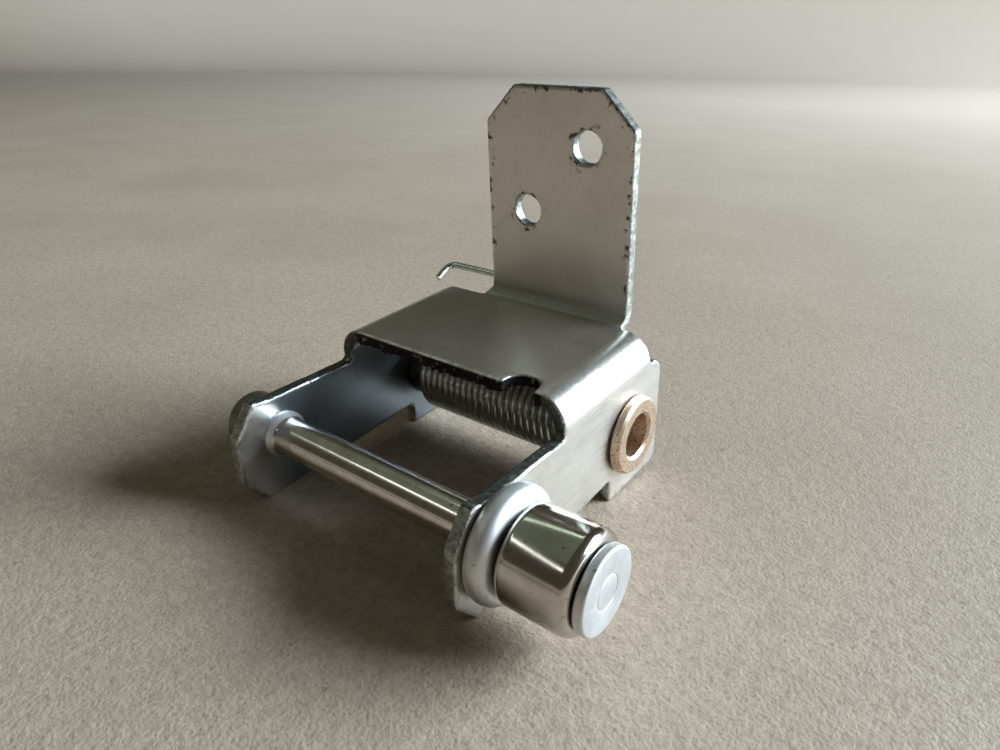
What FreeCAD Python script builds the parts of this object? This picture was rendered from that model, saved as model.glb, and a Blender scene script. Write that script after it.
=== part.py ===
"""Sprung roller arm of a door closer: a folded sheet lever with its bushes, spring and roller.

Frame: the origin is on the pivot axis, midway between the two cheeks. +X runs along the
pivot towards the roller, +Y to the rear where the fixing tab stands, +Z up out of the plate.
All lengths are millimetres.
"""
import FreeCAD, Part
import math
import os

Vector = FreeCAD.Vector

# Sheet lever
SHEET = 2.25                      # sheet thickness
WIDTH = 50.0                      # over the outer faces of the cheeks
BEND_INNER = 3.0                  # inner radius of the two long bends
BEND_OUTER = BEND_INNER + SHEET
PLATE_TOP = 16.1                  # top face of the plate above the pivot axis
PLATE_FRONT = -20.5
CHEEK_REAR = 11.3                 # rear edge of the cheeks, flush with the back of the tab
INSIDE_CORNER = 0.8               # fillet radius of the lever's inside corners
CHEEK_OUTER = WIDTH / 2
CHEEK_INNER = CHEEK_OUTER - SHEET

# Arms and feet of the cheeks, seen from the side as (Y, Z)
ARM_TOP = 9.4                     # top edge of the arm at its root
ARM_TIP_TOP = 10.6
ARM_TIP_FRONT = -47.3
ARM_TIP_BOTTOM = -8.7
ARM_BOTTOM_ROOT = -6.9
FOOT_FRONT = -6.1
FOOT_BOTTOM = -11.6
FOOT_CORNER = 2.2

# Upright tab with two fixing holes
TAB_LEFT = -11.85
TAB_RIGHT = 18.65
TAB_TOP = 55.6
TAB_CHAMFER = 6.2
TAB_BEND_INNER = 2.1
TAB_RELIEF = 2.0                  # radius where the tab's sides run into the plate
TAB_HOLES = ((9.6, 46.1), (-2.9, 33.9))
TAB_HOLE_R = 2.75
PLATE_REAR = CHEEK_REAR - SHEET - TAB_BEND_INNER

# Half-round notch in the front edge of the plate
NOTCH_X = 16.0
NOTCH_Y = -19.6
NOTCH_R = 3.0

# Pivot bushes and the tube that carries the spring
BORE_R = 4.0
BUSH_R = 5.5
BUSH_FLANGE_R = 7.2
BUSH_FLANGE = 1.6
BUSH_STANDOFF = 0.4               # what the flange stands off its cheek
BUSH_LENGTH = 10.0
BUSH_CHAMFER = 0.5
TUBE_R = 6.2
TUBE_BORE_R = 5.55
TUBE_END_GAP = 0.25

# Torsion spring
WIRE_R = 0.75
COIL_R = 7.25                     # to the middle of the wire
COIL_RIGHT = 21.2                 # X of the wire where the fixed leg leaves the coil
COIL_LEFT = -16.8                 # X of the wire where the coil meets the free turn
COIL_TURNS = 25
FIXED_LEG_ANGLE = 60.0            # where the fixed leg leaves the coil, from +Y towards +Z
FIXED_LEG_LENGTH = 13.2
FREE_TURN_X = -18.6
FREE_TURN_SWEEP = 300.0
FREE_LEG_ANGLE = 115.2            # where the free leg leaves its turn
FREE_LEG_LENGTH = 22.2
FREE_LEG_KINK = 3.0               # along the leg, where it starts to slant inboard
FREE_LEG_KINK_R = 6.0
FREE_LEG_SLANT = 4.6              # how far inboard the slant carries the leg's far end
HOOK_END_X = -30.4
HOOK_TIP_LENGTH = 4.6
HOOK_BEND_R = 2.0

# Axle across the arm tips, with what it carries
AXLE_Y = -37.5
AXLE_Z = 2.2
AXLE_R = 3.4
AXLE_SHOULDER_R = 4.2
AXLE_FLARE = 2.8                  # length of the flare behind the left shoulder
AXLE_STEP = 0.4                   # how far the right shoulder stands inside its arm
SPIGOT_R = 2.5
RIVET = 0.8                       # what the left spigot stands proud of its collar
RIGHT_COLLAR = 4.0
RIGHT_COLLAR_R = 9.0
RIGHT_COLLAR_ROUND = 1.8
LEFT_COLLAR = 7.2
LEFT_COLLAR_R = 5.4
LEFT_COLLAR_ROUND = 0.8
WASHER_R = 6.3
WASHER = 1.6
WASHER_ROUND = 0.4
ROLLER_GAP = 0.3
ROLLER_R = 7.6
ROLLER_BORE_R = 5.0
ROLLER_LENGTH = 11.4
ROLLER_ROUND = 1.6
ROLLER_BUSH_BORE_R = AXLE_R + 0.05

COLLAR_FACE = CHEEK_OUTER + RIGHT_COLLAR
LEFT_COLLAR_FACE = -CHEEK_OUTER - LEFT_COLLAR
ROLLER_START = COLLAR_FACE + ROLLER_GAP
ROLLER_END = ROLLER_START + ROLLER_LENGTH
AXLE_SEAT = ROLLER_END + ROLLER_GAP


def rounded_wire(corners, plane):
    """Closed wire through (a, b, radius) corners, put in space by plane(a, b)."""
    edges = []
    ends = []
    count = len(corners)
    for index, (a, b, radius) in enumerate(corners):
        here = Vector(a, b, 0)
        before = Vector(*corners[index - 1][:2], 0) - here
        after = Vector(*corners[(index + 1) % count][:2], 0) - here
        if radius == 0:
            ends.append((here, None, here))
            continue
        before.normalize()
        after.normalize()
        half = before.getAngle(after) / 2
        middle = before + after
        middle.normalize()
        reach = radius / math.tan(half)
        crown = here + middle * (radius / math.sin(half) - radius)
        ends.append((here + before * reach, crown, here + after * reach))
    for index, (start, crown, finish) in enumerate(ends):
        if crown is not None:
            points = [plane(p.x, p.y) for p in (start, crown, finish)]
            edges.append(Part.Arc(*points).toShape())
        following = ends[(index + 1) % count][0]
        if (following - finish).Length > 1e-6:
            edges.append(Part.makeLine(plane(finish.x, finish.y), plane(following.x, following.y)))
    return Part.Wire(edges)


def prism_x(corners, start, finish):
    """Solid of a (Y, Z) outline between two X stations."""
    wire = rounded_wire(corners, lambda y, z: Vector(start, y, z))
    return Part.Face(wire).extrude(Vector(finish - start, 0, 0))


def prism_y(corners, start, finish):
    """Solid of an (X, Z) outline between two Y stations."""
    wire = rounded_wire(corners, lambda x, z: Vector(x, start, z))
    return Part.Face(wire).extrude(Vector(0, finish - start, 0))


def prism_z(corners, start, finish):
    """Solid of an (X, Y) outline between two Z stations."""
    wire = rounded_wire(corners, lambda x, y: Vector(x, y, start))
    return Part.Face(wire).extrude(Vector(0, 0, finish - start))


def turned(corners, y=0.0, z=0.0):
    """Solid turned about an axis along X through (y, z), from an (X, radius) outline."""
    wire = rounded_wire(corners, lambda x, radius: Vector(x, y, z + radius))
    return Part.Face(wire).revolve(Vector(0, y, z), Vector(1, 0, 0), 360)


def rod_x(radius, start, finish, y=0.0, z=0.0):
    return Part.makeCylinder(radius, finish - start, Vector(start, y, z), Vector(1, 0, 0))


def swept(edges, radius):
    """Round wire of the given radius along a smooth chain of edges."""
    path = Part.Wire(edges)
    first = path.OrderedEdges[0]
    start = first.valueAt(first.FirstParameter)
    heading = first.tangentAt(first.FirstParameter)
    section = Part.Wire([Part.makeCircle(radius, start, heading)])
    return path.makePipeShell([section], True, True)


def bent_wire(points, radii):
    """Edges of straight runs through the points, rounded at each inner point."""
    edges = []
    here = points[0]
    for before, corner, after, radius in zip(points, points[1:], points[2:], radii):
        arriving = corner - before
        leaving = after - corner
        inward = leaving.normalize() - arriving.normalize()
        half = arriving.getAngle(leaving) / 2
        reach = radius * math.tan(half)
        crown = corner + inward.normalize() * (radius / math.cos(half) - radius)
        start = corner - arriving * reach
        finish = corner + leaving * reach
        edges += [Part.makeLine(here, start), Part.Arc(start, crown, finish).toShape()]
        here = finish
    edges.append(Part.makeLine(here, points[-1]))
    return edges


def on_coil(x, angle):
    """Point on the spring's mean circle at an angle in degrees from +Y towards +Z."""
    turn = math.radians(angle)
    return Vector(x, COIL_R * math.cos(turn), COIL_R * math.sin(turn))


def folded_channel():
    """Plate with its two long bends and both cheeks, before the tab is added."""
    bottom = FOOT_BOTTOM
    outer = prism_y([(-CHEEK_OUTER, bottom, 0), (-CHEEK_OUTER, PLATE_TOP, BEND_OUTER),
                     (CHEEK_OUTER, PLATE_TOP, BEND_OUTER), (CHEEK_OUTER, bottom, 0)],
                    ARM_TIP_FRONT, CHEEK_REAR)
    ceiling = PLATE_TOP - SHEET
    below = bottom - SHEET
    inner = prism_y([(-CHEEK_INNER, below, 0), (-CHEEK_INNER, ceiling, BEND_INNER),
                     (CHEEK_INNER, ceiling, BEND_INNER), (CHEEK_INNER, below, 0)],
                    ARM_TIP_FRONT, CHEEK_REAR)
    bend_line = PLATE_TOP - BEND_OUTER
    side = prism_x([(PLATE_FRONT, PLATE_TOP, 0),
                    (PLATE_REAR, PLATE_TOP, 0),
                    (PLATE_REAR, bend_line, INSIDE_CORNER),
                    (CHEEK_REAR, bend_line, CHEEK_REAR - PLATE_REAR - INSIDE_CORNER),
                    (CHEEK_REAR, FOOT_BOTTOM, FOOT_CORNER),
                    (FOOT_FRONT, FOOT_BOTTOM, 0.6),
                    (FOOT_FRONT, ARM_BOTTOM_ROOT, INSIDE_CORNER),
                    (-42.9, ARM_TIP_BOTTOM, 0.8),
                    (ARM_TIP_FRONT, -3.5, 0.8),
                    (-46.6, 5.4, 0.8),
                    (-42.5, ARM_TIP_TOP, 0.5),
                    (-39.3, 10.0, 6.0),
                    (PLATE_FRONT, ARM_TOP, INSIDE_CORNER)],
                   -CHEEK_OUTER, CHEEK_OUTER)
    return outer.cut(inner).common(side)


def upright_tab():
    """Tab folded up from the rear of the plate, with the fillets at its root."""
    front = CHEEK_REAR - SHEET
    ceiling = PLATE_TOP - SHEET
    turned_up = prism_x([(0, PLATE_TOP, 0), (0, ceiling, 0),
                         (CHEEK_REAR, ceiling, TAB_BEND_INNER + SHEET),
                         (CHEEK_REAR, TAB_TOP, 0), (front, TAB_TOP, 0),
                         (front, PLATE_TOP, TAB_BEND_INNER)],
                        -CHEEK_INNER, CHEEK_INNER)
    blank = prism_y([(TAB_LEFT, 0, 0), (TAB_LEFT, TAB_TOP - TAB_CHAMFER, 0.4),
                     (TAB_LEFT + TAB_CHAMFER, TAB_TOP, 0.4),
                     (TAB_RIGHT - TAB_CHAMFER, TAB_TOP, 0.4),
                     (TAB_RIGHT, TAB_TOP - TAB_CHAMFER, 0.4), (TAB_RIGHT, 0, 0)],
                    0, CHEEK_REAR)
    bend_edge = CHEEK_OUTER - BEND_OUTER
    right_relief = bend_edge - TAB_RIGHT
    behind = CHEEK_REAR + SHEET
    plan = prism_z([(TAB_LEFT - TAB_RELIEF, 0, 0),
                    (TAB_LEFT - TAB_RELIEF, PLATE_REAR, 0),
                    (TAB_LEFT, PLATE_REAR, TAB_RELIEF),
                    (TAB_LEFT, behind, 0),
                    (TAB_RIGHT, behind, 0),
                    (TAB_RIGHT, PLATE_REAR, right_relief),
                    (bend_edge, PLATE_REAR, 0),
                    (bend_edge, 0, 0)],
                   0, PLATE_TOP + TAB_BEND_INNER)
    return turned_up.common(blank.fuse(plan))


def bracket():
    lever = folded_channel().fuse(upright_tab()).removeSplitter()
    notch = Part.makeCylinder(NOTCH_R, 3 * SHEET, Vector(NOTCH_X, NOTCH_Y, PLATE_TOP - 2 * SHEET))
    open_front = Part.makeBox(2 * NOTCH_R, NOTCH_R, 3 * SHEET,
                              Vector(NOTCH_X - NOTCH_R, NOTCH_Y - NOTCH_R, PLATE_TOP - 2 * SHEET))
    cuts = [notch, open_front, rod_x(BUSH_R, -WIDTH, WIDTH),
            rod_x(AXLE_R, -WIDTH, 0, AXLE_Y, AXLE_Z),
            rod_x(AXLE_SHOULDER_R, 0, WIDTH, AXLE_Y, AXLE_Z)]
    for x, z in TAB_HOLES:
        cuts.append(Part.makeCylinder(TAB_HOLE_R, 3 * SHEET, Vector(x, CHEEK_REAR - 2 * SHEET, z),
                                      Vector(0, 1, 0)))
    for cut in cuts:
        lever = lever.cut(cut)
    return lever


def flanged_bush(side):
    """Sintered bush pressed in a cheek from outside; side is +1 at the roller end, -1 opposite."""
    back = CHEEK_OUTER + BUSH_STANDOFF
    face = back + BUSH_FLANGE
    inner_end = face - BUSH_LENGTH
    outline = [(inner_end, BORE_R), (inner_end, BUSH_R - BUSH_CHAMFER),
               (inner_end + BUSH_CHAMFER, BUSH_R), (back, BUSH_R), (back, BUSH_FLANGE_R),
               (face - BUSH_CHAMFER, BUSH_FLANGE_R), (face, BUSH_FLANGE_R - BUSH_CHAMFER),
               (face, BORE_R + BUSH_CHAMFER), (face - BUSH_CHAMFER, BORE_R)]
    return turned([(side * x, radius, 0) for x, radius in outline])


def spring_tube():
    end = CHEEK_INNER - TUBE_END_GAP
    return rod_x(TUBE_R, -end, end).cut(rod_x(TUBE_BORE_R, -end, end))


def spring_coil():
    """Close-wound coil with its fixed leg, which bears under the plate by the right cheek."""
    pitch = (COIL_RIGHT - COIL_LEFT) / COIL_TURNS
    helix = Part.makeHelix(pitch, COIL_RIGHT - COIL_LEFT, COIL_R)
    start_angle = FIXED_LEG_ANGLE - 360 * COIL_TURNS
    spin = FreeCAD.Rotation(Vector(1, 0, 0), start_angle)
    lay_down = FreeCAD.Rotation(Vector(1, 1, 1), 120)
    helix.Placement = FreeCAD.Placement(Vector(COIL_LEFT, 0, 0), spin.multiply(lay_down))
    last = helix.OrderedEdges[-1]
    end = last.valueAt(last.LastParameter)
    heading = last.tangentAt(last.LastParameter)
    leg = Part.makeLine(end, end + heading * FIXED_LEG_LENGTH)
    return swept(helix.OrderedEdges + [leg], WIRE_R)


def spring_leg():
    """The spring's free turn and leg, hooked outboard past the left cheek."""
    mid_angle = FREE_LEG_ANGLE + FREE_TURN_SWEEP / 2
    far_angle = FREE_LEG_ANGLE + FREE_TURN_SWEEP
    leave = on_coil(FREE_TURN_X, FREE_LEG_ANGLE)
    turn = Part.Arc(on_coil(FREE_TURN_X, far_angle), on_coil(FREE_TURN_X, mid_angle), leave)
    slope = math.radians(FREE_LEG_ANGLE)
    out = Vector(0, math.sin(slope), -math.cos(slope))
    kink = leave + out * FREE_LEG_KINK
    corner = leave + out * FREE_LEG_LENGTH + Vector(FREE_LEG_SLANT, 0, 0)
    far_corner = Vector(HOOK_END_X, corner.y, corner.z)
    tip = far_corner - out * HOOK_TIP_LENGTH
    leg = bent_wire([leave, kink, corner, far_corner, tip],
                    [FREE_LEG_KINK_R, HOOK_BEND_R, HOOK_BEND_R])
    edges = [turn.toShape()] + leg
    return swept(edges, WIRE_R)


def roller_axle():
    """Stepped axle: riveted at both ends, with a flared shoulder inside the left arm."""
    left_end = LEFT_COLLAR_FACE - RIVET
    right_end = AXLE_SEAT + WASHER
    shoulder = -CHEEK_INNER
    step = CHEEK_INNER - AXLE_STEP
    return turned([(left_end, 0, 0), (left_end, AXLE_R, RIVET / 2),
                   (shoulder, AXLE_R, 0), (shoulder, AXLE_SHOULDER_R, 0),
                   (shoulder + AXLE_STEP, AXLE_SHOULDER_R, 0.2),
                   (shoulder + AXLE_FLARE, AXLE_R, 6.0),
                   (step, AXLE_R, 0), (step, AXLE_SHOULDER_R, 0),
                   (CHEEK_OUTER, AXLE_SHOULDER_R, 0), (CHEEK_OUTER, AXLE_R, 0),
                   (AXLE_SEAT, AXLE_R, 0), (AXLE_SEAT, SPIGOT_R, 0),
                   (right_end, SPIGOT_R, 0), (right_end, 0, 0)], AXLE_Y, AXLE_Z)


def ring(start, finish, bore_r, outer_r, near_round, far_round):
    """Turned ring on the axle, with its two outer rims rounded."""
    return turned([(start, bore_r, 0), (start, outer_r, near_round),
                   (finish, outer_r, far_round), (finish, bore_r, 0)], AXLE_Y, AXLE_Z)


def axle_collar_left():
    return ring(LEFT_COLLAR_FACE, -CHEEK_OUTER, AXLE_R, LEFT_COLLAR_R,
                LEFT_COLLAR_ROUND, LEFT_COLLAR_ROUND)


def axle_collar_right():
    return ring(CHEEK_OUTER, COLLAR_FACE, AXLE_R, RIGHT_COLLAR_R,
                RIGHT_COLLAR_ROUND, RIGHT_COLLAR_ROUND)


def axle_washer():
    return ring(AXLE_SEAT, AXLE_SEAT + WASHER, SPIGOT_R, WASHER_R, WASHER_ROUND, WASHER_ROUND)


def roller():
    return ring(ROLLER_START, ROLLER_END, ROLLER_BORE_R, ROLLER_R, ROLLER_ROUND, ROLLER_ROUND)


def roller_bush():
    return ring(ROLLER_START, ROLLER_END, ROLLER_BUSH_BORE_R, ROLLER_BORE_R, 0, 0)


NODES = {
    "bracket": bracket(),
    "flanged_bush_right": flanged_bush(1),
    "flanged_bush_left": flanged_bush(-1),
    "spring_tube": spring_tube(),
    "spring_coil": spring_coil(),
    "spring_leg": spring_leg(),
    "roller_axle": roller_axle(),
    "axle_collar_left": axle_collar_left(),
    "axle_collar_right": axle_collar_right(),
    "axle_washer": axle_washer(),
    "roller": roller(),
    "roller_bush": roller_bush(),
}

os.makedirs("parts", exist_ok=True)
for name, shape in NODES.items():
    shape.exportStep("parts/" + name + ".step")
    print(name, "solids", len(shape.Solids), "valid", shape.isValid(), "mm3", round(shape.Volume, 1))
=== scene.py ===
"""Looks of the sprung roller arm of a door closer. Lengths are in metres, in the CAD's own
frame: +X along the pivot to the roller, +Y to the rear where the tab stands, +Z up.
"""
import bpy
import bmesh
import math
from mathutils import Matrix, Vector, noise
from mathutils.bvhtree import BVHTree
from mathutils.kdtree import KDTree


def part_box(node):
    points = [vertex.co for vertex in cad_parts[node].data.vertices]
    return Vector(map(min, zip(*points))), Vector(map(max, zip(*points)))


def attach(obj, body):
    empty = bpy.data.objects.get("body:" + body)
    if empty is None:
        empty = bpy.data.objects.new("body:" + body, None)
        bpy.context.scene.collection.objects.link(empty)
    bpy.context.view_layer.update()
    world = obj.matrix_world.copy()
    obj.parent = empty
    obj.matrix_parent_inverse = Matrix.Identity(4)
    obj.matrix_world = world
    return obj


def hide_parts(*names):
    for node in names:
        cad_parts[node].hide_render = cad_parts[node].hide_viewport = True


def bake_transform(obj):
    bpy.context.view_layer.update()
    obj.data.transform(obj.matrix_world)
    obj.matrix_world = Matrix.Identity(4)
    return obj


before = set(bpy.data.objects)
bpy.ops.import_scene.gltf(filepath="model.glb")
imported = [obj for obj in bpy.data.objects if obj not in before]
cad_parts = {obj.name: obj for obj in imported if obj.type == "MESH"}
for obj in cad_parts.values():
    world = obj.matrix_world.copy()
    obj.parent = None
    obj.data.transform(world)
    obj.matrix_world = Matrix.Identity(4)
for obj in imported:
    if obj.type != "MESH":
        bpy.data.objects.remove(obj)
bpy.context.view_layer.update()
MM = 0.001
EDGE_BREAK = 0.15 * MM


# ---------------------------------------------------------------- sizes read from the CAD

def span(node, axis):
    """Lowest and highest coordinate of a CAD node along an axis."""
    low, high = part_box(node)
    return low[axis], high[axis]


def axis_of(node):
    """(y, z) of the X-parallel axis of a turned CAD node."""
    low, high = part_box(node)
    return (low[1] + high[1]) / 2, (low[2] + high[2]) / 2


def outer_r(node):
    """Outer radius of a turned CAD node."""
    low, high = span(node, 2)
    return (high - low) / 2


AXLE = axis_of("roller")
PIVOT = axis_of("spring_tube")
CHEEK = span("bracket", 0)[1]


# ---------------------------------------------------------------- sizes no CAD box gives

SHEET = 2.25 * MM
ARM_INNER = CHEEK - SHEET

SHAFT_R = 3.4 * MM                # axle between the arms
SHOULDER_R = 4.2 * MM             # axle's shoulders against the arms
SPIGOT_R = 2.5 * MM               # axle's end inside the washer
FIT = 0.01 * MM                   # clearance of the collars and washer on the axle
ROLLER_BORE_R = 5.0 * MM
ROLLER_BUSH_BORE_R = 3.45 * MM
BUSH_R = 5.5 * MM
BUSH_FLANGE_R = 7.2 * MM
BUSH_BORE_R = 4.0 * MM
BUSH_FLANGE = 1.6 * MM
BUSH_CHAMFER = 0.5 * MM
TUBE_BORE_R = 5.55 * MM

WIRE_R = 0.75 * MM
COIL_R = 7.25 * MM
COIL_RIGHT = 21.2 * MM
COIL_LEFT = -16.8 * MM
COIL_TURNS = 25
FREE_TURN_X = -18.6 * MM
FIXED_ANGLE = 60.0                # degrees round the pivot where the fixed leg joins
FREE_ANGLE = 115.2                # the same for the free leg
LAST_TURN = 304.8                 # degrees of the free turn after the close ones
FIXED_LEG = 13.2 * MM
FREE_LEG = 22.2 * MM
FREE_LEG_KINK = 3 * MM
FREE_LEG_SLANT = 4.6 * MM
HOOK_TIP = 4.6 * MM

# Where the lever's faces and folds meet, in millimetres, to within a tenth
TAB_Z = 18.3                      # the tab's flat starts
BEND_X = 19.8                     # the long bends start, from the middle
BEND_Z = 10.8                     # and end, down the cheeks
CHEEK_X = 22.7                    # inner faces of the cheeks
REAR_Y = 6.9                      # the plate ends
PLATE_FRONT_Y = -20.5
PLATE_TOP_Z = 16.1
ARM_ROOT_Z = 9.0                  # top of the arms, where they leave the plate
NOTCH_X = 16.0
NOTCH_Y = -19.6
NOTCH_R = 3.0
FRONT_HALF = 20.5                 # half the length of the plate's front edge
FRONT_FROM_Z = 12.0               # lowest level counted as that edge
SHARP_EDGE = 0.6                  # radians between faces


# ---------------------------------------------------------------- mesh helpers

def rounded(corners, steps=7):
    """Closed outline through (x, r, radius) corners, with its rounds drawn as short chords."""
    points = []
    count = len(corners)
    for index, (x, r, radius) in enumerate(corners):
        here = Vector((x, r))
        if not radius:
            points.append(here)
            continue
        before = (Vector(corners[index - 1][:2]) - here).normalized()
        after = (Vector(corners[(index + 1) % count][:2]) - here).normalized()
        half = before.angle(after) / 2
        centre = here + (before + after).normalized() * (radius / math.sin(half))
        start = here + before * (radius / math.tan(half)) - centre
        finish = here + after * (radius / math.tan(half)) - centre
        first = math.atan2(start.y, start.x)
        sweep = (math.atan2(finish.y, finish.x) - first + math.pi) % (2 * math.pi) - math.pi
        for step in range(steps + 1):
            angle = first + sweep * step / steps
            points.append(centre + Vector((math.cos(angle), math.sin(angle))) * radius)
    return points


def lathe(corners, axis, segments=120, ring=True):
    """Mesh turned about an X-parallel axis. ring joins the outline's last point to its first."""
    bm = bmesh.new()
    verts = [bm.verts.new((p.x, axis[0], axis[1] + p.y)) for p in rounded(corners)]
    pairs = list(zip(verts, verts[1:]))
    if ring:
        pairs.append((verts[-1], verts[0]))
    edges = [bm.edges.new(pair) for pair in pairs]
    bmesh.ops.spin(bm, geom=verts + edges, cent=(0, axis[0], axis[1]), axis=(1, 0, 0),
                   angle=2 * math.pi, steps=segments, use_merge=True)
    bmesh.ops.remove_doubles(bm, verts=bm.verts, dist=1e-7)
    bmesh.ops.recalc_face_normals(bm, faces=bm.faces)
    return bm


def add_piece(name, bm, body, nodes, material, sharp=32):
    """Puts a finished mesh in the scene in place of CAD nodes."""
    mesh = bpy.data.meshes.new(name)
    bm.to_mesh(mesh)
    bm.free()
    mesh.shade_smooth()
    mesh.set_sharp_from_angle(angle=math.radians(sharp))
    obj = bpy.data.objects.new(name, mesh)
    bpy.context.scene.collection.objects.link(obj)
    mesh.materials.append(material)
    if body:
        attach(obj, body)
    if nodes:
        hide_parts(*nodes)
    return obj


def wire_mesh(path, radius, sides=14):
    """Round wire along a path of points, with domed ends."""
    bm = bmesh.new()
    rings = []
    side = None
    for index, point in enumerate(path):
        ahead = path[min(index + 1, len(path) - 1)] - path[max(index - 1, 0)]
        ahead.normalize()
        if side is None:
            side = ahead.orthogonal()
        side = (side - ahead * side.dot(ahead)).normalized()
        other = ahead.cross(side)
        rings.append([bm.verts.new(point + (side * math.cos(2 * math.pi * k / sides)
                                            + other * math.sin(2 * math.pi * k / sides)) * radius)
                      for k in range(sides)])
    for one, two in zip(rings, rings[1:]):
        for k in range(sides):
            bm.faces.new((one[k], one[(k + 1) % sides], two[(k + 1) % sides], two[k]))
    for loop, tip, inward in ((rings[0], path[0], path[0] - path[1]),
                              (rings[-1], path[-1], path[-1] - path[-2])):
        cap = bm.faces.new(loop)
        bmesh.ops.inset_individual(bm, faces=[cap], thickness=radius * 0.35)
        bmesh.ops.translate(bm, verts=cap.verts[:], vec=inward.normalized() * radius * 0.3)
    bmesh.ops.recalc_face_normals(bm, faces=bm.faces)
    return bm


# ---------------------------------------------------------------- material helpers

class Surface:
    """A Principled material with short calls for the nodes that feed it."""

    def __init__(self, name, **constants):
        self.material = bpy.data.materials.new(name)
        self.material.use_nodes = True
        self.tree = self.material.node_tree
        self.tree.nodes.clear()
        output = self.tree.nodes.new("ShaderNodeOutputMaterial")
        self.shader = self.tree.nodes.new("ShaderNodeBsdfPrincipled")
        self.tree.links.new(self.shader.outputs[0], output.inputs[0])
        for socket, value in constants.items():
            self.shader.inputs[socket.replace("_", " ")].default_value = value
        coords = self.tree.nodes.new("ShaderNodeTexCoord")
        self.place = self.vector("MULTIPLY", coords.outputs["Object"], (1000, 1000, 1000))

    def put(self, socket, value):
        if hasattr(value, "node"):
            self.tree.links.new(value, socket)
        else:
            socket.default_value = value

    def vector(self, operation, a, b):
        node = self.tree.nodes.new("ShaderNodeVectorMath")
        node.operation = operation
        self.put(node.inputs[0], a)
        self.put(node.inputs[1], b)
        return node.outputs[0]

    def math(self, operation, a, b=0.0, clamp=False):
        node = self.tree.nodes.new("ShaderNodeMath")
        node.operation = operation
        node.use_clamp = clamp
        self.put(node.inputs[0], a)
        self.put(node.inputs[1], b)
        return node.outputs[0]

    def axis(self, name):
        node = self.tree.nodes.new("ShaderNodeSeparateXYZ")
        self.put(node.inputs[0], self.place)
        return node.outputs[name]

    def noise(self, per_mm, detail=3.0, stretch=(1, 1, 1), shift=0.0, roughness=0.55):
        node = self.tree.nodes.new("ShaderNodeTexNoise")
        scaled = self.vector("MULTIPLY", self.place, stretch)
        self.put(node.inputs["Vector"], self.vector("ADD", scaled, (shift, shift, shift)))
        node.inputs["Scale"].default_value = per_mm
        node.inputs["Detail"].default_value = detail
        node.inputs["Roughness"].default_value = roughness
        return node.outputs[0]

    def ramp(self, value, low, high, start=0.0, finish=1.0):
        """Maps low..high to start..finish, held at both ends."""
        node = self.tree.nodes.new("ShaderNodeMapRange")
        for socket, number in zip(node.inputs, (value, low, high, start, finish)):
            self.put(socket, number)
        return node.outputs[0]

    def mix(self, factor, a, b):
        node = self.tree.nodes.new("ShaderNodeMix")
        node.data_type = "RGBA"
        self.put(node.inputs[0], factor)
        for socket, colour in ((node.inputs[6], a), (node.inputs[7], b)):
            self.put(socket, colour if hasattr(colour, "node") else (*colour, 1))
        return node.outputs[2]

    def attribute(self, name):
        node = self.tree.nodes.new("ShaderNodeAttribute")
        node.attribute_name = name
        return node.outputs["Fac"]

    def bump(self, height, strength, distance_mm):
        node = self.tree.nodes.new("ShaderNodeBump")
        node.inputs["Strength"].default_value = strength
        node.inputs["Distance"].default_value = distance_mm * MM
        self.put(node.inputs["Height"], height)
        return node.outputs[0]

    def set(self, **sockets):
        for socket, value in sockets.items():
            self.put(self.shader.inputs[socket.replace("_", " ")], value)
        return self.material


def scratched_skin(s, cloud, brushed, on_cheek):
    """The plated skin: soft clouds, rolling marks, and scratches along the cheeks."""
    skin = s.mix(s.ramp(cloud, 0.3, 0.7), (0.68, 0.64, 0.59), (0.78, 0.75, 0.705))
    skin = s.mix(s.ramp(brushed, 0.35, 0.75, 0.0, 0.35), skin, (0.50, 0.51, 0.50))
    scratch = s.ramp(s.noise(1.1, 3, stretch=(0.6, 0.07, 3.5), shift=70.0), 0.58, 0.70)
    scratch = s.math("MULTIPLY", scratch, on_cheek)
    return s.mix(s.math("MULTIPLY", scratch, 0.55), skin, (0.30, 0.30, 0.30))


def smudges(s):
    """Factor of the dirt spots that gather near edges, most of all on the tab."""
    near = s.ramp(s.attribute("edge"), 0.2, 2.0, 1.0, 0.0)
    on_tab = s.ramp(s.axis("Z"), 17.5, 20.0, 0.35, 1.0)
    stain = s.ramp(s.math("ADD", s.noise(0.6, 5, shift=21.0), s.math("MULTIPLY", near, 0.15)),
                   0.64, 0.72)
    return s.math("MULTIPLY", stain, s.math("MULTIPLY", s.ramp(near, 0.0, 0.5), on_tab))


def painted_shade_in_tab_bend(s):
    """Factor of the painted shade: a dull dark band inside the tab's fold."""
    band = s.math("MULTIPLY", s.ramp(s.axis("Z"), PLATE_TOP_Z - 0.2, PLATE_TOP_Z + 0.5),
                  s.ramp(s.axis("Z"), 18.0, 20.5, 1.0, 0.0))
    return s.math("MULTIPLY", band, s.ramp(s.axis("Y"), REAR_Y - 1.4, REAR_Y + 0.6))


def painted_shade_inside_cheeks(s):
    """Factor of the painted shade on the inner sides of the cheeks and arms, clearing towards the
    tips.
    """
    inner = ARM_INNER / MM
    low = s.ramp(s.axis("Z"), 11.5, 13.5, 1.0, 0.0)
    inside = s.ramp(s.math("ABSOLUTE", s.axis("X")), inner + 0.2, inner + 0.5, 1.0, 0.0)
    axle = AXLE[0] / MM
    along = s.ramp(s.axis("Y"), axle - 7.0, axle + 0.5, 0.1, 1.0)
    return s.math("MULTIPLY", s.math("MULTIPLY", low, inside), along)


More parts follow.
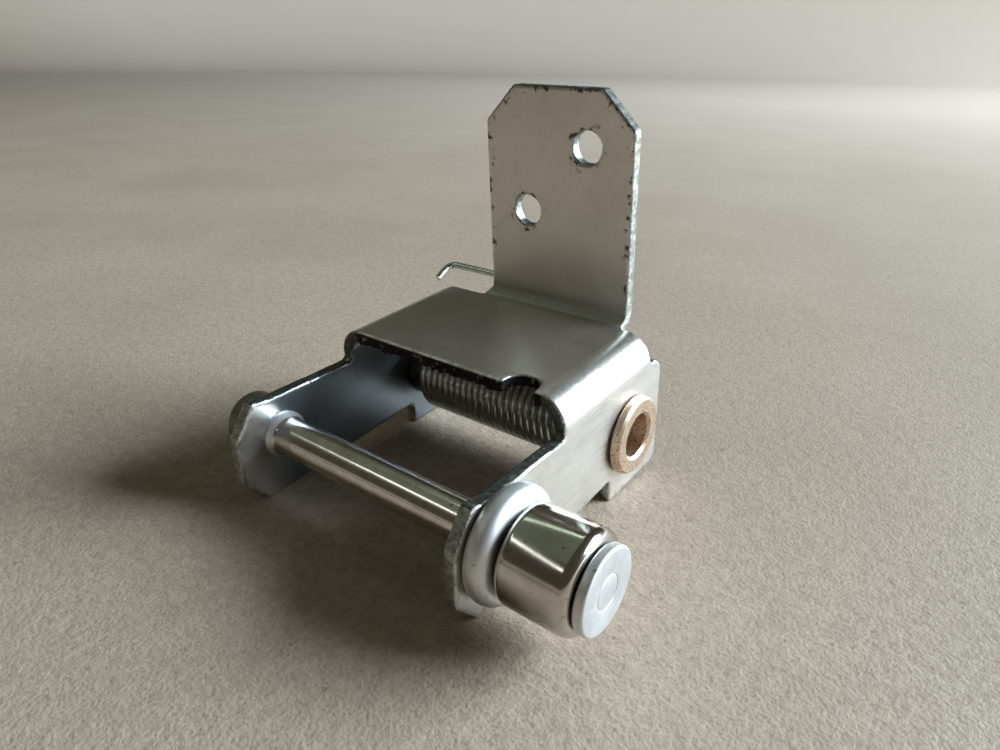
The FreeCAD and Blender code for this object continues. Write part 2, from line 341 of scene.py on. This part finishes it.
def zinc_sheet():
    """Zinc-plated sheet: mottled satin skin, rough dark sheared edges with black burr and painted
    shade, smudges near the edges, and painted shade inside the tab's fold and inside the cheeks
    and arms.
    """
    s = Surface("zinc_sheet", Metallic=1.0)
    cut = s.attribute("cut")
    burr_and_shade = s.attribute("burr_and_shade")
    grain = s.noise(1.6, 4)
    brushed = s.noise(0.9, 3, stretch=(3.2, 0.12, 0.5), shift=9.0)
    torn = s.noise(1.3, 5, shift=5.0)
    outer = CHEEK / MM
    on_cheek = s.ramp(s.math("ABSOLUTE", s.axis("X")), outer - 0.6, outer - 0.2)
    stain = smudges(s)
    bend_shade = painted_shade_in_tab_bend(s)
    skin = scratched_skin(s, s.noise(0.11, 4, shift=3.0), brushed, on_cheek)
    skin = s.mix(stain, skin, (0.10, 0.085, 0.07))
    # painted shade: a dark greenish band inside the tab's fold
    skin = s.mix(s.math("MULTIPLY", bend_shade, 0.75), skin, (0.25, 0.27, 0.22))
    # painted shade: a dark bluish tone on the inner sides of the cheeks and arms
    skin = s.mix(s.math("MULTIPLY", painted_shade_inside_cheeks(s), 0.92), skin, (0.20, 0.235, 0.27))
    metal = s.mix(s.ramp(torn, 0.32, 0.66), (0.22, 0.24, 0.21), (0.56, 0.59, 0.55))
    black = s.ramp(s.noise(0.8, 5, shift=31.0), 0.26, 0.42)
    colour = s.mix(cut, skin, metal)
    # black burr on the plate's front edge, painted shade and a painted dark reflection on other
    # sheared edges
    colour = s.mix(s.math("MULTIPLY", burr_and_shade, black), colour, (0.025, 0.022, 0.02))
    rough = s.math("ADD", s.ramp(grain, 0.3, 0.7, 0.29, 0.37), s.math("MULTIPLY", on_cheek, 0.09))
    rough = s.math("ADD", rough, s.math("MULTIPLY", cut, 0.05))
    rough = s.math("ADD", rough, s.math("MULTIPLY", s.math("ADD", stain, burr_and_shade), 0.2), True)
    rough = s.math("ADD", rough, s.math("MULTIPLY", bend_shade, 0.25), True)
    height = s.math("ADD", s.math("MULTIPLY", grain, 0.35), s.math("MULTIPLY", brushed, 0.25))
    height = s.math("ADD", height, s.math("MULTIPLY", torn, s.math("MULTIPLY", cut, 3.0)))
    return s.set(Base_Color=colour, Roughness=rough, Normal=s.bump(height, 0.5, 0.06))


def turned_steel(name, colour, rough_low, rough_high, marks=0.5):
    """Turned steel with fine rings round its X axis, faint spots and a little grime."""
    s = Surface(name, Metallic=1.0)
    rings = s.noise(4.0, 3, stretch=(1.0, 0.03, 0.03), shift=2.0)
    cloud = s.noise(0.25, 4, shift=13.0)
    speck = s.ramp(s.noise(1.1, 3, shift=41.0), 0.66, 0.72)
    dull = tuple(c * 0.72 for c in colour)
    tint = s.mix(s.ramp(cloud, 0.35, 0.75), colour, dull)
    tint = s.mix(s.math("MULTIPLY", speck, 0.7), tint, (0.20, 0.18, 0.15))
    rough = s.ramp(s.math("ADD", s.math("MULTIPLY", rings, 0.5), s.math("MULTIPLY", cloud, 0.5)),
                   0.35, 0.65, rough_low, rough_high)
    return s.set(Base_Color=tint, Roughness=rough, Normal=s.bump(rings, marks, 0.012))


def satin_steel():
    return turned_steel("satin_steel", (0.82, 0.83, 0.84), 0.44, 0.52, 0.4)


def spring_wire():
    s = Surface("spring_wire", Metallic=1.0)
    drawn = s.noise(1.4, 2)
    cloud = s.noise(0.4, 3, shift=7.0)
    tint = s.mix(s.ramp(cloud, 0.3, 0.7), (0.50, 0.52, 0.50), (0.68, 0.70, 0.69))
    return s.set(Base_Color=tint, Roughness=s.ramp(drawn, 0.3, 0.7, 0.18, 0.28),
                 Normal=s.bump(drawn, 0.12, 0.01))


def sintered_bronze():
    """Porous bronze: warm copper with darker pits and an oily film."""
    s = Surface("sintered_bronze", Metallic=1.0)
    pores = s.noise(2.6, 4, shift=4.0)
    cloud = s.noise(0.35, 3, shift=17.0)
    tint = s.mix(s.ramp(cloud, 0.3, 0.7), (0.64, 0.47, 0.33), (0.78, 0.62, 0.48))
    tint = s.mix(s.ramp(pores, 0.54, 0.66), tint, (0.24, 0.12, 0.06))
    return s.set(Base_Color=tint, Roughness=s.ramp(pores, 0.35, 0.65, 0.3, 0.5),
                 Normal=s.bump(pores, 0.55, 0.05))


def dark_tube():
    s = Surface("dark_tube", Metallic=1.0)
    cloud = s.noise(0.6, 4)
    tint = s.mix(s.ramp(cloud, 0.3, 0.7), (0.10, 0.11, 0.10), (0.22, 0.23, 0.22))
    return s.set(Base_Color=tint, Roughness=s.ramp(cloud, 0.3, 0.7, 0.35, 0.5))


def pale_floor():
    """Pale floor with the fine speckle of pressed board, and painted light that makes it lighter
    towards the back.
    """
    s = Surface("pale_floor")
    broad = s.noise(0.012, 4, shift=1.0)
    fine = s.noise(0.55, 4, shift=6.0)
    grit = s.noise(1.7, 3, shift=33.0)
    speck = s.ramp(s.noise(0.5, 2, shift=55.0), 0.68, 0.74)
    tint = s.mix(s.ramp(broad, 0.3, 0.7), (0.32, 0.248, 0.183), (0.385, 0.306, 0.232))
    tint = s.mix(s.ramp(fine, 0.35, 0.65, 0.0, 0.5), tint, (0.225, 0.172, 0.125))
    tint = s.mix(s.math("MULTIPLY", speck, 0.5), tint, (0.15, 0.115, 0.085))
    tint = s.mix(s.ramp(grit, 0.52, 0.66, 0.0, 0.5), tint, (0.19, 0.145, 0.105))
    # painted light: the floor grows lighter from 0.12 m to 1.1 m behind the part
    tint = s.mix(s.ramp(s.axis("Y"), 120, 1100, 0.0, 0.8), tint, (0.52, 0.44, 0.37))
    return s.set(Base_Color=tint, Roughness=s.ramp(fine, 0.3, 0.7, 0.6, 0.8),
                 Normal=s.bump(s.math("ADD", fine, grit), 0.4, 0.35))


# ---------------------------------------------------------------- bracket

def is_cut(centre, normal):
    """True on a sheared edge face of the folded sheet, False on its plated skin."""
    x, y, z = centre / MM
    nx, ny, nz = (abs(c) for c in normal)
    if z > TAB_Z:
        return ny < 0.7
    if abs(x) > BEND_X and y < REAR_Y and z > BEND_Z:
        return ny > 0.7
    if abs(x) > CHEEK_X:
        return nx < 0.7
    if y > REAR_Y:
        return nx > 0.7
    return nz < 0.7


def sharp_edges(cad, spacing=0.25 * MM):
    """Search tree of points along the sharp edges of the CAD mesh."""
    samples = []
    for edge in cad.edges:
        if len(edge.link_faces) == 2 and edge.calc_face_angle(0) > SHARP_EDGE:
            a, b = (v.co for v in edge.verts)
            steps = max(1, int((b - a).length / spacing))
            samples += [a.lerp(b, k / steps) for k in range(steps + 1)]
    sharp = KDTree(len(samples))
    for index, point in enumerate(samples):
        sharp.insert(point, index)
    sharp.balance()
    return sharp


def fine_mesh(cad, name, voxel=0.36 * MM):
    """New object with an even fine mesh of the CAD shape, its edges softened by the voxels."""
    mesh = bpy.data.meshes.new(name)
    cad.to_mesh(mesh)
    obj = bpy.data.objects.new(name, mesh)
    bpy.context.scene.collection.objects.link(obj)
    remesh = obj.modifiers.new("Remesh", "REMESH")
    remesh.mode = "VOXEL"
    remesh.voxel_size = voxel
    remesh.use_smooth_shade = True
    depsgraph = bpy.context.evaluated_depsgraph_get()
    dense = bpy.data.meshes.new_from_object(obj.evaluated_get(depsgraph))
    obj.modifiers.clear()
    obj.data = dense
    bpy.data.meshes.remove(mesh)
    return obj


def blackness(x, y, z, on_cut, faces_up):
    """How black the sheared edge is painted at a point: 1 for the black burr along the plate's
    front edge, 0.75 on the sheared faces at the front of the bends and cheeks, part burr and part
    painted shade, 0.8 on upward-facing sheared faces as a painted reflection of the dark overhead,
    0 elsewhere.
    """
    front = abs(x) < FRONT_HALF and y < PLATE_FRONT_Y + 2.0 and z > FRONT_FROM_Z
    notch = math.hypot(x - NOTCH_X, y - NOTCH_Y) < NOTCH_R + 0.4 and z > FRONT_FROM_Z
    if (front or notch) and z < PLATE_TOP_Z - 0.4:
        return 1.0
    if on_cut and z > ARM_ROOT_Z and PLATE_FRONT_Y - 0.6 < y < PLATE_FRONT_Y + 0.8:
        return 0.75
    return 0.8 if on_cut and faces_up else 0.0


def bracket_piece():
    """The folded lever with softened, slightly ragged sheared edges."""
    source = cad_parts["bracket"]
    cad = bmesh.new()
    cad.from_mesh(source.data)
    cad.transform(source.matrix_world)
    bmesh.ops.remove_doubles(cad, verts=cad.verts, dist=1e-7)
    cad.faces.ensure_lookup_table()
    cad.normal_update()
    tree = BVHTree.FromBMesh(cad)
    cut_face = [is_cut(f.calc_center_median(), f.normal) for f in cad.faces]
    sharp = sharp_edges(cad)
    obj = fine_mesh(cad, "bracket_sheet")
    cad.free()

    dense = obj.data
    cut, near, burr_and_shade = [], [], []
    for vertex in dense.vertices:
        normal, face = tree.find_nearest(vertex.co)[1:3]
        on_cut = cut_face[face]
        x, y, z = vertex.co / MM
        dark = blackness(x, y, z, on_cut, normal.z > 0.7)
        cut.append(1.0 if on_cut else 0.0)
        near.append(sharp.find(vertex.co)[2] / MM)
        burr_and_shade.append(dark)
        if dark == 1.0 and z < 14.7 and y < PLATE_FRONT_Y + 1.3:
            drip = max(0.0, noise.noise(vertex.co / (1.1 * MM)) + 0.15)
            vertex.co.z -= 0.9 * MM * drip
        if on_cut:
            rag = noise.noise(vertex.co / (0.9 * MM)) + 0.5 * noise.noise(vertex.co / (0.35 * MM))
            vertex.co -= normal * max(0.01 * MM, 0.06 * MM + 0.07 * MM * rag)
    for name, values in (("cut", cut), ("edge", near), ("burr_and_shade", burr_and_shade)):
        layer = dense.attributes.new(name, "FLOAT", "POINT")
        layer.data.foreach_set("value", values)
    dense.shade_smooth()
    dense.materials.clear()
    dense.materials.append(zinc_sheet())
    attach(obj, "lever")
    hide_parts("bracket")
    return obj


# ---------------------------------------------------------------- turned pieces

def axle_piece():
    """The cross axle: bright between the arms, satin on the flare and on the end spigot."""
    left, right = span("roller_axle", 0)
    seat = span("axle_washer", 0)[0]
    root = -ARM_INNER
    step = ARM_INNER - 0.4 * MM
    corners = [(left, 0, 0), (left, SHAFT_R, 0.4 * MM), (root, SHAFT_R, 0), (root, SHOULDER_R, 0),
               (root + 0.4 * MM, SHOULDER_R, 0.2 * MM), (root + 1.5 * MM, SHAFT_R, 2 * MM),
               (step, SHAFT_R, 0.1 * MM), (step, SHOULDER_R, EDGE_BREAK), (CHEEK, SHOULDER_R, 0),
               (CHEEK, SHAFT_R, 0), (seat, SHAFT_R, 0), (seat, SPIGOT_R, 0),
               (right, SPIGOT_R, 0.25 * MM), (right, 0, 0)]
    steel = turned_steel("ground_steel", (0.80, 0.75, 0.68), 0.13, 0.19, 0.15)
    pin = add_piece("axle_pin", lathe(corners, AXLE, ring=False), "lever", ["roller_axle"],
                    steel)
    pin.data.materials.append(satin_steel())
    for face in pin.data.polygons:
        if face.center.x > seat or face.center.x < root + 1.3 * MM:
            face.material_index = 1


def ring_piece(name, node, bore, rim_round, body, material):
    """A plain ring that fills its CAD node's length and outer radius."""
    start, finish = span(node, 0)
    outer = outer_r(node)
    corners = [(start, bore, EDGE_BREAK), (start, outer, rim_round),
               (finish, outer, rim_round), (finish, bore, EDGE_BREAK)]
    return add_piece(name, lathe(corners, axis_of(node)), body, [node], material)


def collar_pieces():
    """The collars outside both arms and the washer that keeps the roller on."""
    satin = satin_steel()
    # painted shade: a dark copy of the collar steel for the left collar, on the shaded side of the
    # lever
    shade_dark_steel = turned_steel("shaded_collar_steel", (0.24, 0.25, 0.20), 0.40, 0.52, 0.4)
    ring_piece("collar_left", "axle_collar_left", SHAFT_R + FIT, 0.8 * MM, "lever",
               shade_dark_steel)
    ring_piece("collar_right", "axle_collar_right", SHAFT_R + FIT, 1.8 * MM, "lever",
               satin)
    ring_piece("end_washer", "axle_washer", SPIGOT_R + FIT, 0.4 * MM, "lever",
               satin)


def roller_pieces():
    """The polished roller and the bearing sleeve inside it, both free to spin."""
    polished = turned_steel("polished_steel", (0.66, 0.63, 0.58), 0.12, 0.17, 0.3)
    ring_piece("roller_sleeve", "roller", ROLLER_BORE_R, 1.6 * MM, "roller",
               polished)
    ring_piece("roller_bearing", "roller_bush", ROLLER_BUSH_BORE_R, EDGE_BREAK, "roller",
               sintered_bronze())


def bush_pieces():
    """The two pivot bushes, flange outwards; side is +1 on the right and -1 on the left."""
    bronze = sintered_bronze()
    chamfer = BUSH_CHAMFER
    for name, node, side in (("bush_right", "flanged_bush_right", 1),
                             ("bush_left", "flanged_bush_left", -1)):
        low, high = span(node, 0)
        face, inner = (high, low) if side > 0 else (low, high)
        back = face - side * BUSH_FLANGE
        corners = [(inner, BUSH_BORE_R, EDGE_BREAK), (inner, BUSH_R - chamfer, 0),
                   (inner + side * chamfer, BUSH_R, 0), (back, BUSH_R, 0),
                   (back, BUSH_FLANGE_R, EDGE_BREAK),
                   (face - side * chamfer, BUSH_FLANGE_R, EDGE_BREAK),
                   (face, BUSH_FLANGE_R - chamfer, EDGE_BREAK),
                   (face, BUSH_BORE_R + chamfer, EDGE_BREAK),
                   (face - side * chamfer, BUSH_BORE_R, EDGE_BREAK)]
        add_piece(name, lathe(corners, PIVOT), "lever", [node], bronze)


def tube_piece():
    ring_piece("inner_tube", "spring_tube", TUBE_BORE_R, EDGE_BREAK, "lever",
               dark_tube())


# ---------------------------------------------------------------- spring

def on_coil(x, degrees, radius):
    """Point at x and an angle round the pivot, measured from +Y towards +Z."""
    turn = math.radians(degrees)
    return Vector((x, PIVOT[0] + radius * math.cos(turn), PIVOT[1] + radius * math.sin(turn)))


def bent(points, radii):
    """Points of a wire that runs straight between the given points, rounded at inner ones."""
    path = []
    here = points[0]
    for before, corner, after, radius in zip(points, points[1:], points[2:], radii):
        arriving = (corner - before).normalized()
        leaving = (after - corner).normalized()
        half = arriving.angle(leaving) / 2
        reach = radius * math.tan(half)
        centre = corner + (leaving - arriving).normalized() * (radius / math.cos(half))
        start = corner - arriving * reach
        finish = corner + leaving * reach
        path += [here.lerp(start, k / 4) for k in range(1, 5)]
        first = (start - centre).normalized()
        last = (finish - centre).normalized()
        path += [centre + first.slerp(last, k / 8) * radius for k in range(1, 9)]
        here = finish
    return path + [here.lerp(points[-1], k / 4) for k in range(1, 5)]


def coil_path():
    """The fixed leg, the close turns and the one open turn that rides with the free leg."""
    pitch = (COIL_RIGHT - COIL_LEFT) / COIL_TURNS
    heading = math.radians(FIXED_ANGLE)
    start = on_coil(COIL_RIGHT, FIXED_ANGLE, COIL_R)
    tangent = Vector((0, -math.sin(heading), math.cos(heading)))
    path = [start + tangent * FIXED_LEG * (1 - k / 5) for k in range(5)]
    total = 360 * COIL_TURNS + LAST_TURN
    count = int(total / 7.5)
    for k in range(count + 1):
        swept = total * k / count
        x = max(COIL_RIGHT - pitch * swept / 360, FREE_TURN_X)
        wobble = 0.05 * MM * noise.noise(Vector((swept / 210, 3.1, 0)))
        path.append(on_coil(x, FIXED_ANGLE - swept, COIL_R + wobble))
    return path


def free_leg_path():
    """The free leg, slanted inboard behind the tab, with its outboard hook."""
    slope = math.radians(FREE_ANGLE)
    leave = on_coil(FREE_TURN_X, FREE_ANGLE, COIL_R)
    out = Vector((0, math.sin(slope), -math.cos(slope)))
    kink = leave + out * FREE_LEG_KINK
    corner = leave + out * FREE_LEG + Vector((FREE_LEG_SLANT, 0, 0))
    far = Vector((span("spring_leg", 0)[0] + WIRE_R, corner.y, corner.z))
    tip = far - out * HOOK_TIP
    return bent([leave, kink, corner, far, tip], [6 * MM, 2 * MM, 2 * MM])


def spring_piece():
    """The spring as one wire, wound between the lever and the free leg's body."""
    wire = wire_mesh(coil_path() + free_leg_path(), WIRE_R)
    obj = add_piece("spring_wire_piece", wire, None, [], spring_wire(), 50)
    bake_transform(obj)
    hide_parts("spring_coil", "spring_leg")
    return obj


# ---------------------------------------------------------------- stage, lights, camera

def resting_plane():
    """Point and slope of the floor, found from the lowest points of the lever's side view."""
    points = [(v.co.y, v.co.z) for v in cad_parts["bracket"].data.vertices]
    lowest = min(z for y, z in points)
    foot = min(y for y, z in points if z < lowest + 0.05 * MM)
    slope = min((z - lowest) / (foot - y) for y, z in points if y < foot - 10 * MM)
    return foot, lowest, slope


def floor():
    """Flat round floor that curves up far behind the part."""
    foot, height, slope = resting_plane()
    sides, flat, curve = 96, 2.2, 0.45
    profile = [(0.02, 0), (0.1, 0), (0.3, 0), (0.8, 0), (1.5, 0), (flat, 0)]
    profile += [(flat + curve * math.sin(a), curve - curve * math.cos(a))
                for a in (math.radians(d) for d in range(10, 81, 10))]
    bm = bmesh.new()
    rings = []
    for radius, rise in profile:
        rings.append([bm.verts.new((radius * math.cos(t), radius * math.sin(t), rise))
                      for t in (2 * math.pi * k / sides for k in range(sides))])
    bm.faces.new(rings[0])
    for one, two in zip(rings, rings[1:]):
        for k in range(sides):
            bm.faces.new((one[k], one[(k + 1) % sides], two[(k + 1) % sides], two[k]))
    tilt = Matrix.Rotation(-math.atan(slope), 4, "X")
    bm.transform(Matrix.Translation((0, foot, height)) @ tilt)
    bmesh.ops.recalc_face_normals(bm, faces=bm.faces)
    mesh = bpy.data.meshes.new("floor")
    bm.to_mesh(mesh)
    bm.free()
    mesh.shade_smooth()
    obj = bpy.data.objects.new("floor", mesh)
    bpy.context.scene.collection.objects.link(obj)
    mesh.materials.append(pale_floor())


def area_light(name, azimuth, elevation, distance, width, height, watts, colour):
    """Soft rectangle facing the part. Azimuth is from +X towards +Y, in degrees."""
    lamp = bpy.data.lights.new(name, "AREA")
    lamp.shape = "RECTANGLE"
    lamp.size = width
    lamp.size_y = height
    lamp.energy = watts
    lamp.color = colour
    obj = bpy.data.objects.new(name, lamp)
    a, e = math.radians(azimuth), math.radians(elevation)
    direction = Vector((math.cos(e) * math.cos(a), math.cos(e) * math.sin(a), math.sin(e)))
    obj.location = direction * distance
    obj.rotation_euler = direction.to_track_quat("Z", "Y").to_euler()
    obj.visible_camera = False
    bpy.context.scene.collection.objects.link(obj)


def lights():
    """A cool window behind to the right, faint strips that draw lines on the steel, a soft top."""
    area_light("window", 42, 22, 2.8, 1.8, 0.9, 290, (0.75, 0.89, 1.0))
    area_light("front_strip", -133, 46, 1.1, 0.7, 0.055, 0.42, (0.94, 1.0, 0.95))
    area_light("rear_strip", 134, 54, 1.1, 0.6, 0.035, 0.22, (0.80, 1.0, 0.82))
    area_light("canopy", 175, 62, 1.1, 1.3, 0.9, 0.36, (0.72, 1.0, 0.76))
    world = bpy.data.worlds.new("studio")
    world.use_nodes = True
    world.node_tree.nodes["Background"].inputs[0].default_value = (0.62, 0.53, 0.40, 1)
    world.node_tree.nodes["Background"].inputs[1].default_value = 0.10
    bpy.context.scene.world = world


def camera():
    """Wide camera near the front right corner, looking down on the part."""
    heading, tilt, roll = (math.radians(d) for d in (128.773, -27.988, -2.248))
    data = bpy.data.cameras.new("camera")
    data.sensor_width = 36
    data.lens = 25.96
    data.clip_start = 0.005
    obj = bpy.data.objects.new("camera", data)
    turn = (Matrix.Rotation(heading - math.pi / 2, 4, "Z")
            @ Matrix.Rotation(math.pi / 2 + tilt, 4, "X") @ Matrix.Rotation(roll, 4, "Z"))
    obj.matrix_world = Matrix.Translation((0.07501, -0.09796, 0.06982)) @ turn
    bpy.context.scene.collection.objects.link(obj)
    bpy.context.scene.camera = obj


bpy.context.scene.view_settings.view_transform = "Standard"
camera()
floor()
lights()
bracket_piece()
axle_piece()
collar_pieces()
roller_pieces()
bush_pieces()
tube_piece()
spring_piece()
